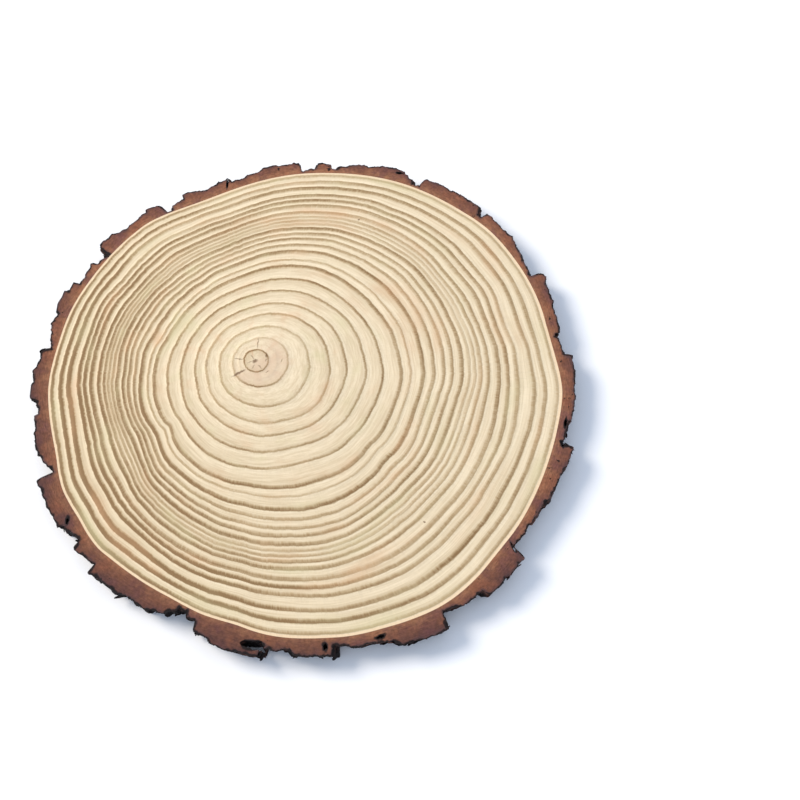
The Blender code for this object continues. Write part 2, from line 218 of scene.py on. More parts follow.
class Board:
    """A node tree that is being wired."""

    def __init__(self, tree: NodeTree) -> None:
        """Start with an empty tree."""
        self.tree = tree
        tree.nodes.clear()

    def feed(self, socket: Socket, value: Input) -> None:
        """Link another socket into this one, or set its value."""
        if isinstance(value, Socket):
            self.tree.links.new(value, socket)
        else:
            socket.default_value = value.linear() if isinstance(value, Tone) else value

    def node(self, kind: str, inputs: dict | None = None, **settings: object) -> bpy.types.Node:
        """Add a node.

        Args:
            kind: Blender's name for the type of node.
            inputs: what goes into its sockets, by their name or number.
            settings: the node's own properties.

        Returns:
            The new node.
        """
        made = self.tree.nodes.new(kind)
        for name, value in settings.items():
            setattr(made, name, value)
        for key, value in (inputs or {}).items():
            self.feed(made.inputs[key], value)
        return made

    def out(self, kind: str, inputs: dict | None = None, output: int | str = 0,
            **settings: object) -> Socket:
        """Add a node and take one of its outputs, by its number or name."""
        return self.node(kind, inputs, **settings).outputs[output]

    def math(self, operation: str, *values: Input, clamp: bool = False) -> Socket:
        """One step of arithmetic on numbers."""
        inputs = dict(enumerate(values))
        return self.out("ShaderNodeMath", inputs, operation=operation, use_clamp=clamp)

    def plus(self, first: Input, second: Input, clamp: bool = False) -> Socket:
        """Two numbers added."""
        return self.math("ADD", first, second, clamp=clamp)

    def times(self, first: Input, second: Input) -> Socket:
        """Two numbers multiplied."""
        return self.math("MULTIPLY", first, second)

    def minus(self, first: Input, second: Input) -> Socket:
        """One number less another."""
        return self.math("SUBTRACT", first, second)

    def line(self, value: Input, slope: Input, start: Input) -> Socket:
        """A number multiplied by a slope and added to a start."""
        return self.math("MULTIPLY_ADD", value, slope, start)

    def vector(self, operation: str, *values: Input) -> Socket:
        """One step of arithmetic on vectors."""
        return self.out("ShaderNodeVectorMath", dict(enumerate(values)), operation=operation)

    def dot(self, first: Input, second: Input) -> Socket:
        """The dot product of two vectors."""
        inputs = {0: first, 1: second}
        return self.out("ShaderNodeVectorMath", inputs, "Value", operation="DOT_PRODUCT")

    def turned(self, vector: Input, angle: Input) -> Socket:
        """A vector turned about the upright axis."""
        inputs = {"Vector": vector, "Angle": angle}
        return self.out("ShaderNodeVectorRotate", inputs, rotation_type="Z_AXIS")

    def parts(self, vector: Input) -> list[Socket]:
        """The three parts of a vector."""
        return list(self.node("ShaderNodeSeparateXYZ", {0: vector}).outputs)

    def scaled(self, vector: Input, x: float, y: float, z: float) -> Socket:
        """A vector with each part multiplied by its own number."""
        return self.vector("MULTIPLY", vector, (x, y, z))

    def noise(self, vector: Input, scale: Input, detail: float = 2.0,
              rough: float = 0.5) -> Socket:
        """Noise round one half."""
        inputs = {"Vector": vector, "Scale": scale, "Detail": detail, "Roughness": rough}
        return self.out("ShaderNodeTexNoise", inputs, "Fac")

    def between(self, value: Input, low: Input, high: Input, start: Input = 0.0,
                end: Input = 1.0) -> Socket:
        """A smooth step of a value.

        Args:
            value: what is measured.
            low: the value at which the step starts.
            high: the value at which it ends.
            start: the result up to low.
            end: the result from high on.

        Returns:
            The stepped value.
        """
        inputs = {"Value": value, "From Min": low, "From Max": high, "To Min": start, "To Max": end}
        return self.out("ShaderNodeMapRange", inputs, "Result", interpolation_type="SMOOTHSTEP")

    def mix(self, share: Input, first: Input, second: Input, blend: str = "MIX") -> Socket:
        """A mix of two colours."""
        inputs = {0: share, 6: first, 7: second}
        return self.out("ShaderNodeMix", inputs, 2, data_type="RGBA", blend_type=blend)

    def stain(self, colour: Input, tone: Tone, value: Input, *step: Input) -> Socket:
        """A colour that turns into a tone over a smooth step of a value."""
        return self.mix(self.between(value, *step), colour, tone)

    def dimmed(self, colour: Input, share: Input) -> Socket:
        """A colour with its brightness multiplied by a number."""
        grey = self.out("ShaderNodeCombineXYZ", {0: share, 1: share, 2: share})
        return self.mix(1.0, colour, grey, "MULTIPLY")

    def ramp(self, value: Input, stops: tuple, curve: str = "LINEAR") -> Socket:
        """A colour for each value.

        Args:
            value: a number from 0 to 1.
            stops: pairs of a place and a Tone or a grey value.
            curve: how colours run between the stops.

        Returns:
            The colour.
        """
        node = self.node("ShaderNodeValToRGB", {0: value})
        node.color_ramp.interpolation = curve
        elements = node.color_ramp.elements
        while len(elements) < len(stops):
            elements.new(0.5)
        for element, (place, tone) in zip(elements, stops):
            element.position = place
            element.color = tone.linear() if isinstance(tone, Tone) else (tone, tone, tone, 1.0)
        return node.outputs["Color"]

    def attribute(self, name: str, output: str = "Fac") -> Socket:
        """The piece's own attribute."""
        return self.out("ShaderNodeAttribute", None, output, attribute_name=name)

    def named(self, name: str) -> Socket:
        """A number that each point of a geometry holds, in a geometry tree."""
        return self.out("GeometryNodeInputNamedAttribute", {"Name": name}, data_type="FLOAT")

    def bump(self, height: Input, strength: float, distance: float) -> Socket:
        """A normal that leans as a height says."""
        inputs = {"Strength": strength, "Distance": distance, "Height": height}
        return self.out("ShaderNodeBump", inputs)

    def surface(self, colour: Input, roughness: Input, shine: float, **others: Input) -> None:
        """End a material with one Principled shader."""
        inputs = {"Base Color": colour, "Roughness": roughness, "Specular IOR Level": shine}
        shader = self.out("ShaderNodeBsdfPrincipled", inputs | others)
        self.node("ShaderNodeOutputMaterial", {0: shader})

    def give(self, value: Input) -> None:
        """End a group with its one output."""
        self.node("NodeGroupOutput", {0: value})

    def dress(self, geometry: Socket, finish: Socket) -> None:
        """End a geometry tree with its material on all it made."""
        self.give(self.out("GeometryNodeSetMaterial", {"Geometry": geometry, "Material": finish}))


def new_material(name: str) -> tuple[Material, Board, Socket]:
    """Start a material.

    Args:
        name: the material's name.

    Returns:
        The material, its board, and each point in the piece's own metres.
    """
    made = bpy.data.materials.new(name)
    made.use_nodes = True
    board = Board(made.node_tree)
    return made, board, board.out("ShaderNodeTexCoord", output="Object")


def new_group(name: str, inputs: dict[str, str], output: str, output_kind: str = "Float",
              kind: str = "ShaderNodeTree") -> tuple[NodeTree, Board, Given]:
    """Make a node group with named sockets.

    Args:
        name: the group's name.
        inputs: the type of each input.
        output: the name of its output.
        output_kind: the type of its output.
        kind: the type of the group's tree.

    Returns:
        The group, its board, and what its inputs give.
    """
    group = bpy.data.node_groups.new(name, kind)
    for way, sockets in (("INPUT", inputs), ("OUTPUT", {output: output_kind})):
        for socket, socket_kind in sockets.items():
            kind_name = "NodeSocket" + socket_kind
            group.interface.new_socket(name=socket, in_out=way, socket_type=kind_name)
    board = Board(group)
    return group, board, board.node("NodeGroupInput").outputs


def new_rule(name: str, *numbers: str, **others: str) -> tuple[NodeTree, Board, Given]:
    """Make a geometry tree that takes a geometry, numbers, others by type, and a material."""
    floats = {number: "Float" for number in numbers}
    inputs = {"Geometry": "Geometry", **floats, **others, "Material": "Material"}
    return new_group(name, inputs, "Geometry", "Geometry", "GeometryNodeTree")


class Groups:
    """The effects that the materials share, each made once."""

    coarse_share, fine_share, fine_scale = 0.6, 0.4, 2.7
    streak_low, streak_high = 0.34, 0.66
    band_soft, band_core, band_end = 0.30, 0.45, 1.40
    spot_core, spot_end = 0.45, 1.15
    saw_length = 0.03

    def __init__(self) -> None:
        """Make every group."""
        self.streaks = self._streaks()
        self.band = self._band()
        self.mark = self._mark()
        self.saw = self._saw()

    def streak(self, board: Board, run: Input, across: float, along: float) -> Socket:
        """Streaks of a size across and along their run, in a material."""
        inputs = {"Run": run, "Across": across, "Along": along}
        return self.use(board, self.streaks, inputs, "Streak")

    @staticmethod
    def use(board: Board, group: NodeTree, inputs: dict, output: str) -> Socket:
        """Place a group in a material.

        Args:
            board: the material's tree.
            group: the group to place.
            inputs: its inputs by name.
            output: the output that is wanted.

        Returns:
            That output's socket.
        """
        node = board.tree.nodes.new("ShaderNodeGroup")
        node.node_tree = group
        for name, value in inputs.items():
            board.feed(node.inputs[name], value)
        return node.outputs[output]

    def _streaks(self) -> NodeTree:
        """Streaks that run one way over a surface, broken up along their length."""
        inputs = {"Run": "Vector", "Across": "Float", "Along": "Float"}
        group, board, given = new_group("streaks", inputs, "Streak")
        across = given["Across"]
        size = board.out("ShaderNodeCombineXYZ", {0: across, 1: across, 2: given["Along"]})
        place = board.vector("MULTIPLY", given["Run"], size)
        coarse = board.noise(place, 1.0, 3.0, 0.6)
        fine = board.noise(place, self.fine_scale, 1.0)
        both = board.line(fine, self.fine_share, board.times(coarse, self.coarse_share))
        board.give(board.between(both, self.streak_low, self.streak_high))
        return group

    def _band(self) -> NodeTree:
        """A year's dark band: sharp on its outer side and soft towards the pith."""
        inputs = {"Inward": "Float", "Width": "Float"}
        group, board, given = new_group("late_band", inputs, "Band")
        start = board.between(given["Inward"], -self.band_soft, self.band_soft)
        end = board.between(given["Inward"], board.times(given["Width"], self.band_core),
                            board.times(given["Width"], self.band_end), 1.0, 0.0)
        board.give(board.times(start, end))
        return group

    def _mark(self) -> NodeTree:
        """A soft oval spot at one place."""
        inputs = {"Point": "Vector", "Centre": "Vector", "Turn": "Float", "Long": "Float",
                  "Wide": "Float"}
        group, board, given = new_group("mark", inputs, "Mask")
        away = board.vector("SUBTRACT", given["Point"], given["Centre"])
        parts = board.parts(board.turned(away, given["Turn"]))
        x = board.math("DIVIDE", parts[0], given["Long"])
        y = board.math("DIVIDE", parts[1], given["Wide"])
        size = board.math("SQRT", board.plus(board.times(x, x), board.times(y, y)))
        board.give(board.between(size, self.spot_core, self.spot_end, 1.0, 0.0))
        return group

    def _saw(self) -> NodeTree:
        """Fine straight lines that the saw and the sander leave."""
        inputs = {"Point": "Vector", "Turn": "Float", "Spacing": "Float"}
        group, board, given = new_group("saw_lines", inputs, "Height")
        turned = board.turned(given["Point"], given["Turn"])
        count = board.math("DIVIDE", 1.0, given["Spacing"])
        stretched = board.scaled(turned, 1.0, self.saw_length, self.saw_length)
        board.give(board.noise(stretched, count, 1.0))
        return group


@dataclass(frozen=True)
class SawnPine:
    """Sawn and sanded pine, seen across its growth rings."""

    bright: Tone = Tone(238, 220, 189)
    cream: Tone = Tone(213, 193, 160)
    tan: Tone = Tone(179, 154, 117)
    brown: Tone = Tone(134, 104, 67)
    heart: Tone = Tone(208, 180, 152)
    skin: Tone = Tone(230, 200, 164)
    orange: Tone = Tone(206, 156, 114)
    # Dark spots in the wood's own colour, and painted shade along the cracks
    green: Tone = Tone(200, 192, 146)
    spot_and_crack_shade: Tone = Tone(106, 76, 48)
    heart_side: tuple = (0.64, -0.77, 0.0)
    tone_places: tuple = (0.0, 0.28, 0.62, 1.0)
    orange_edge: tuple = (0.05, 1.0, 0.0, 0.42)
    green_edge: tuple = (-1.0, -0.05, 0.42, 0.0)
    heart_edge: tuple = (0.104, 0.126, 1.0, 0.0)
    heart_spread: tuple = (-0.9, 0.5, 0.12, 0.85)
    heart_patch: tuple = (0.30, 0.60, 0.55, 1.0)
    skin_edge: tuple = (0.990, 0.993, 0.0, 0.7)
    ray_size: tuple = (95.0, 9.0)
    band_size: tuple = (3.2, 125.0)
    wave_size: tuple = (22.0, 22.0, 6.0)
    patch_size: tuple = (3.0, 3.0, 14.0)
    speck_scale: float = 1300.0
    ray_shade: float = 0.07
    speck_shade: float = 0.12
    darkest_shade: float = 0.905
    wave_shift: float = 0.9
    ray_shift: float = 0.26
    band_share: float = 0.78
    swell_share: float = 0.36
    swell_bend: float = 1.1
    past_share: float = 0.95
    ray_patch: tuple = (0.34, 0.84)
    faint: float = 0.20
    tint_swing: float = 2.6
    fray_scale: float = 700.0
    fray: float = 1.4 * MM
    saw_turn: float = 0.5
    saw_spacing: float = 0.9 * MM
    saw_height: float = 0.5
    ray_height: float = 0.6
    bump: float = 0.25
    relief: float = 0.1 * MM
    roughness: tuple = (0.66, 0.52)
    shine: float = 0.3

    def material(self, groups: Groups, marks: list[tuple[Mark, Point, float]]) -> Material:
        """Wire the material.

        Args:
            groups: the shared effects.
            marks: each mark with its place in metres and its turn in radians.

        Returns:
            The finished material.
        """
        made, board, point = new_material("sawn_pine_face")
        grain = board.attribute("grain", "Vector")
        rays = groups.streak(board, grain, *self.ray_size)
        waves = board.noise(board.scaled(grain, *self.wave_size), 1.0, 1.0)
        bands = groups.streak(board, grain, *self.band_size)
        broad = board.noise(board.scaled(grain, *self.patch_size), 1.0)
        speck = board.noise(point, self.speck_scale)
        late = self._latewood(board, groups, rays, waves, bands)
        tones = (self.bright, self.cream, self.tan, self.brown)
        colour = board.ramp(late, tuple(zip(self.tone_places, tones)))
        colour = self._tinted(board, colour, grain, broad, late)
        shade = board.line(speck, self.speck_shade, self.darkest_shade)
        colour = board.dimmed(colour, board.line(rays, self.ray_shade, shade))
        colour = self._marked(board, groups, colour, point, marks)
        saw = {"Point": point, "Turn": self.saw_turn, "Spacing": self.saw_spacing}
        lines = Groups.use(board, groups.saw, saw, "Height")
        height = board.line(lines, self.saw_height, board.line(rays, self.ray_height, late))
        board.surface(colour, board.between(late, 0.0, 1.0, *self.roughness), self.shine,
                      Normal=board.bump(height, self.bump, self.relief))
        return made

    def _marked(self, board: Board, groups: Groups, colour: Input, point: Input,
                marks: list[tuple[Mark, Point, float]]) -> Socket:
        """The colour with its dark spots and short cracks, which have frayed edges; the cracks'
        darkness is painted shade.
        """
        inputs = {"Vector": point, "Scale": self.fray_scale}
        frayed = board.out("ShaderNodeTexNoise", inputs, "Color")
        frayed = board.vector("ADD", point, board.scaled(frayed, self.fray, self.fray, 0.0))
        for mark, (x, y), turn in marks:
            centre = (x + self.fray / 2, y + self.fray / 2, 0.0)
            mask = Groups.use(board, groups.mark, {
                "Point": frayed, "Centre": centre, "Turn": -turn,
                "Long": mark.long * MM, "Wide": mark.wide * MM}, "Mask")
            colour = board.mix(board.times(mask, mark.depth), colour, self.spot_and_crack_shade)
        return colour

    def _latewood(self, board: Board, groups: Groups, rays: Input, waves: Input,
                  bands: Input) -> Socket:
        """How far each point is from the year's pale wood to its dark end.

        Args:
            board: the material's tree.
            groups: the shared effects.
            rays: streaks along the wood's rays.
            waves: slow unevenness along the rings.
            bands: streaks along the rings.

        Returns:
            The darkness from 0 to 1, with the painted shade on the pale wood added.
        """
        year = board.parts(board.attribute("year", "Vector"))
        before = board.parts(board.attribute("before", "Vector"))
        ray_shift = board.times(board.minus(rays, 0.5), self.ray_shift)
        shift = board.line(board.minus(waves, 0.5), self.wave_shift, ray_shift)
        inward = board.minus(year[0], shift)
        past = board.minus(board.times(before[0], -1.0), shift)
        now_band = Groups.use(board, groups.band, {"Inward": inward, "Width": year[2]}, "Band")
        past_band = Groups.use(board, groups.band, {"Inward": past, "Width": before[2]}, "Band")
        width = board.plus(year[0], before[0])
        along = board.math("DIVIDE", board.plus(before[0], shift), width, clamp=True)
        swell = board.times(board.math("POWER", along, self.swell_bend),
                            board.between(inward, -groups.band_soft, groups.band_soft))
        swell = board.line(now_band, self.band_share, board.times(swell, self.swell_share))
        now = board.times(year[1], swell)
        both = board.line(board.times(before[1], past_band), self.past_share, now)
        patchy = board.times(both, board.line(rays, *self.ray_patch))
        # Faint streaks along the rings, plus the painted shade on the pale wood
        faint = board.line(bands, self.faint, board.attribute("painted_shade"))
        return board.plus(patchy, faint, clamp=True)

    def _tinted(self, board: Board, colour: Input, grain: Input, broad: Input,
                late: Input) -> Socket:
        """The colour with orange and green tints, the pink heart and the line under the bark."""
        ring = board.parts(grain)[2]
        tint = board.line(board.minus(broad, 0.5), self.tint_swing, board.attribute("tint"))
        colour = board.stain(colour, self.orange, tint, *self.orange_edge)
        colour = board.stain(colour, self.green, tint, *self.green_edge)
        side = board.between(board.dot(grain, self.heart_side), *self.heart_spread)
        heart = board.times(board.between(ring, *self.heart_edge), side)
        heart = board.times(heart, board.minus(1.0, late))
        heart = board.times(heart, board.between(broad, *self.heart_patch))
        colour = board.mix(heart, colour, self.heart)
        return board.stain(colour, self.skin, ring, *self.skin_edge)


@dataclass(frozen=True)
class PineBark:
    """Pine bark: reddish where it is sawn, dark and flaky on its outer side."""

    inner: Tone = Tone(150, 103, 75)
    middle: Tone = Tone(124, 80, 61)
    outer: Tone = Tone(92, 60, 54)
    # Near-black of the bark's edge, also laid on as painted shade on the shaded side
    char_and_shade: Tone = Tone(24, 18, 18)
    skin: Tone = Tone(92, 57, 47)
    shaded: Tone = Tone(46, 33, 31)
    ash: Tone = Tone(132, 106, 97)
    plum: Tone = Tone(106, 66, 65)
    rust: Tone = Tone(146, 88, 62)
    rim: Tone = Tone(82, 60, 60)
    # Painted shade: the side towards which the cut face, the near-black rim and the outer side are
    # darkened
    dark_side: tuple = (-0.0042, -0.0055, 0.0)
    layer_size: tuple = (0.16, 1.3)
    sheet_size: tuple = (0.10, 0.10, 0.9)
    wander_scale: float = 160.0
    grit_scale: float = 1500.0
    patch_scale: float = 210.0
    blot_scale: float = 66.0
    grain_scale: float = 620.0
    shaded_share: float = 0.17
    wander_reach: float = 11.0
    face_depth: float = 12.0
    cut_places: tuple = (0.0, 0.35, 0.9)
    cut_light: tuple = (0.30, 1.10, 0.30)
    shaded_edge: tuple = (-0.2, 0.9)
    plum_edge: tuple = (0.48, 0.66, 0.0, 0.60)
    rust_edge: tuple = (0.34, 0.50, 0.40, 0.0)
    char_reach: tuple = (6.5, 0.5, -2.75)
    char_soft: tuple = (0.45, 0.3)
    char_share: float = 0.94
    rim_reach: tuple = (5.0, -0.9)
    rim_core: float = 0.3
    rim_share: float = 0.75
    side_edge: tuple = (-0.5, -0.05, 1.0, 0.0)
    sheet_edge: tuple = (0.38, 0.58)
    ash_edge: tuple = (0.58, 0.70, 0.0, 0.75)
    burnt_edge: tuple = (0.14, 0.38)
    burnt_soft: float = 0.22
    skin_light: tuple = (0.6, 0.66)
    layer_height: float = 0.8
    grit_height: float = 0.5
    bump: float = 0.6
    relief: float = 0.4 * MM
    roughness: tuple = (0.3, 0.7, 0.78, 0.94)
    shine: float = 0.25

    def material(self, name: str, groups: Groups) -> Material:
        """Wire the material.

        Args:
            name: the material's name.
            groups: the shared effects.

        Returns:
            The finished material.
        """
        made, board, point = new_material(name)
        run = board.attribute("run", "Vector")
        depth = board.attribute("from_wood")
        edge = board.attribute("to_edge")
        layers = groups.streak(board, run, *self.layer_size)
        wander = board.noise(point, self.wander_scale, 3.0)
        grit = board.noise(point, self.grit_scale)
        # Painted shade: 1 on the darkened side of the bark, 0 on the other
        shaded = board.between(board.dot(run, self.dark_side), *self.shaded_edge)
        cut = self._cut_face(board, point, depth, layers, wander)
        # Painted shade on the cut face
        cut = board.mix(board.times(shaded, self.shaded_share), cut, self.shaded)
        skin = self._skin(board, run, wander, grit, shaded)
        patches = board.noise(point, self.patch_scale, 4.0, 0.65)
        # The near-black rim is the bark's own colour; painted shade widens it on the shaded side
        by_patch, by_side, least = self.char_reach
        char_and_shade = board.line(patches, by_patch, board.line(shaded, by_side, least))
        core, soft = self.char_soft
        on_rim = board.between(edge, board.times(char_and_shade, core), board.plus(char_and_shade, soft), 1.0, 0.0)
        reach = board.line(wander, *self.rim_reach)
        inner = board.times(reach, self.rim_core)
        cut = board.stain(cut, self.rim, edge, inner, reach, self.rim_share, 0.0)
        colour = board.mix(board.times(on_rim, self.char_share), cut, self.char_and_shade)
        colour = board.mix(board.between(edge, *self.side_edge), colour, skin)
        height = board.line(layers, self.layer_height, board.line(grit, self.grit_height, wander))
        board.surface(colour, board.between(grit, *self.roughness), self.shine,
                      Normal=board.bump(height, self.bump, self.relief))
        return made

    def _cut_face(self, board: Board, point: Input, depth: Input, layers: Input,
                  wander: Input) -> Socket:
        """Colour of the sawn face, by its distance from the wood in millimetres."""
        shifted = board.line(board.minus(wander, 0.5), self.wander_reach, depth)
        share = board.math("DIVIDE", shifted, self.face_depth, clamp=True)
        tones = (self.inner, self.middle, self.outer)
        colour = board.ramp(share, tuple(zip(self.cut_places, tones)))
        blots = board.noise(point, self.blot_scale, 3.0, 0.6)
        colour = board.stain(colour, self.plum, blots, *self.plum_edge)
        colour = board.stain(colour, self.rust, blots, *self.rust_edge)
        grain = board.noise(point, self.grain_scale, 3.0, 0.65)
        by_layer, by_grain, least = self.cut_light
        light = board.line(layers, by_layer, board.line(grain, by_grain, least))
        return board.dimmed(colour, light)

    def _skin(self, board: Board, run: Input, wander: Input, grit: Input, shaded: Input) -> Socket:
        """Colour of the outer side and of the walls of the slits, with painted shade on the shaded
        side.
        """
        sheets = board.noise(board.scaled(run, *self.sheet_size), 1.0, 4.0, 0.6)
        colour = board.stain(self.shaded, self.skin, sheets, *self.sheet_edge)
        colour = board.stain(colour, self.ash, sheets, *self.ash_edge)
        # Near-black patches on the outer side, with more of them as painted shade on the shaded
        # side
        burnt_and_shade = board.line(shaded, *self.burnt_edge)
        burnt_and_shade = board.between(wander, burnt_and_shade, board.plus(burnt_and_shade, self.burnt_soft), 1.0, 0.0)
        colour = board.mix(burnt_and_shade, colour, self.char_and_shade)
        return board.dimmed(colour, board.line(grit, *self.skin_light))


@dataclass(frozen=True)
class WhiteFloor:
    """Plain white studio floor."""

    white: Tone = Tone(246, 247, 250)
    bright: Tone = Tone(248, 248, 250)
    cloud_scale: float = 30.0
    roughness: float = 0.9
    shine: float = 0.1

    def material(self) -> Material:
        """Wire the material."""
        made, board, point = new_material("white_floor")
        clouds = board.noise(point, self.cloud_scale, 3.0)
        faint = board.ramp(clouds, ((0.3, self.white), (0.7, self.bright)))
        board.surface(faint, self.roughness, self.shine)
        return made


def direction(angles: np.ndarray) -> np.ndarray:
    """Unit vectors in the plane at angles in degrees."""
    turn = np.radians(angles)
    return np.stack((np.cos(turn), np.sin(turn)), axis=-1)


def degrees_of(away: np.ndarray) -> np.ndarray:
    """The angles of flat vectors in degrees."""
    return np.degrees(np.arctan2(away[:, 1], away[:, 0]))


def off(turn: np.ndarray, angle: float) -> np.ndarray:
    """How far angles are from one angle, from -180 to 180 degrees."""
    return (turn - angle + 180) % 360 - 180


def facing(turn: np.ndarray, angle: float) -> np.ndarray:
    """1 at one angle, 0 opposite it and smooth between."""
    return 0.5 + 0.5 * np.cos(np.radians(turn - angle))


def hills(table: tuple, ring: np.ndarray, turn: np.ndarray) -> np.ndarray:
    """The sum of soft hills on the face.

    Args:
        table: each hill's angle and its spread, its ring and its spread, and its height.
        ring: the rings where the sum is read.
        turn: the angles round the pith where it is read, in degrees.

    Returns:
        One value for each place.
    """
    total = np.zeros(np.broadcast(ring, turn).shape)
    for angle, spread, middle, reach, height in table:
        away = off(turn, angle) / spread
        total += height * np.exp(-0.5 * away**2 - 0.5 * ((ring - middle) / reach) ** 2)
    return total


def eased(part: np.ndarray) -> np.ndarray:
    """A share from 0 to 1 that starts and ends gently."""
    return part * part * (3 - 2 * part)


def ripple(rng: np.random.Generator, cells: int, angles: np.ndarray) -> np.ndarray:
    """Smooth random values from -1 to 1 that meet again after one turn.

    Args:
        rng: the source of random values.
        cells: how many of them there are in one turn.
        angles: where they are read, in degrees.

    Returns:
        One value for each angle.
    """
    knots = rng.uniform(-1, 1, cells)
    place = (angles % 360) * cells / 360
    first = np.floor(place).astype(int) % cells
    part = eased(place - np.floor(place))
    return knots[first] * (1 - part) + knots[(first + 1) % cells] * part


def ripples(rng: np.random.Generator, layers: tuple, angles: np.ndarray) -> np.ndarray:
    """Ripples added up, each with its number of values in one turn and its size."""
    return sum(size * ripple(rng, cells, angles) for cells, size in layers)


def quilt(rng: np.random.Generator, round_cells: int, up_cells: int, angles: np.ndarray,
          heights: np.ndarray) -> np.ndarray:
    """Smooth random values from -1 to 1 over a wall that goes round.

    Args:
        rng: the source of random values.
        round_cells: how many there are in one turn.
        up_cells: how many there are from foot to top.
        angles: the columns' angles in degrees.
        heights: the rows' heights, from 0 to 1.

    Returns:
        One row of values for each height.
    """
    levels = np.stack([ripple(rng, round_cells, angles) for _ in range(up_cells + 1)])
    place = heights * up_cells * 0.999
    first = np.floor(place).astype(int)
    part = eased(place - first)[:, None]
    return levels[first] * (1 - part) + levels[first + 1] * part


def set_attribute(mesh: Mesh, name: str, values: np.ndarray) -> None:
    """Store a number or a vector for each point of a mesh."""
    is_vector = values.ndim == 2
    made = mesh.attributes.new(name, "FLOAT_VECTOR" if is_vector else "FLOAT", "POINT")
    made.data.foreach_set("vector" if is_vector else "value", values.astype(np.float32).ravel())


def points_of(mesh: Mesh) -> np.ndarray:
    """A mesh's points as rows."""
    flat = np.zeros(len(mesh.vertices) * 3, dtype=np.float32)
    mesh.vertices.foreach_get("co", flat)
    return flat.reshape(-1, 3).astype(float)


def lattice(name: str, rows: np.ndarray, closed: bool, poles: tuple = ()) -> Mesh:
    """A mesh of rows of points that each go once round.

    Args:
        name: the mesh's name.
        rows: the points, by row and column.
        closed: whether the last row meets the first.
        poles: one point before the first row and one after the last, or none.

    Returns:
        The mesh, with its faces towards the outside.
    """
    count, columns = rows.shape[:2]
    index = np.arange(count * columns).reshape(count, columns)
    first = index if closed else index[:-1]
    second = np.roll(index, -1, axis=0) if closed else index[1:]
    after = (np.roll(second, -1, axis=1), np.roll(first, -1, axis=1))
    faces = np.stack((first, second, *after), axis=-1).reshape(-1, 4).tolist()
    points = rows.reshape(-1, 3).tolist()
    if poles:
        start, end = len(points), len(points) + 1
        points += [tuple(pole) for pole in poles]
        faces += [(start, a, b) for a, b in zip(index[0].tolist(), np.roll(index[0], -1).tolist())]
        faces += [(a, end, b) for a, b in zip(index[-1].tolist(), np.roll(index[-1], -1).tolist())]
    mesh = bpy.data.meshes.new(name)
    mesh.from_pydata(points, [], faces)
    return mesh


def new_object(name: str, mesh: Mesh) -> Object:
    """Put a mesh in the scene."""
    made = bpy.data.objects.new(name, mesh)
    bpy.context.scene.collection.objects.link(made)
    return made


def settle(piece: Object, sharp_angle: float) -> None:
    """Turn a piece's modifiers into a plain mesh, smooth but for its sharp edges."""
    bpy.context.view_layer.update()
    evaluated = piece.evaluated_get(bpy.context.evaluated_depsgraph_get())
    mesh = bpy.data.meshes.new_from_object(evaluated)
    piece.modifiers.clear()
    piece.data = mesh
    mesh.name = piece.name
    mesh.shade_smooth()
    mesh.set_sharp_from_angle(angle=math.radians(sharp_angle))


def add_tree(piece: Object, tree: NodeTree, values: dict[str, object]) -> None:
    """Put a geometry tree on a piece and set its inputs by their identifiers."""
    modifier = piece.modifiers.new(tree.name, "NODES")
    modifier.node_group = tree
    for item in tree.interface.items_tree:
        if item.in_out == "INPUT" and item.name in values:
            modifier[item.identifier] = values[item.name]


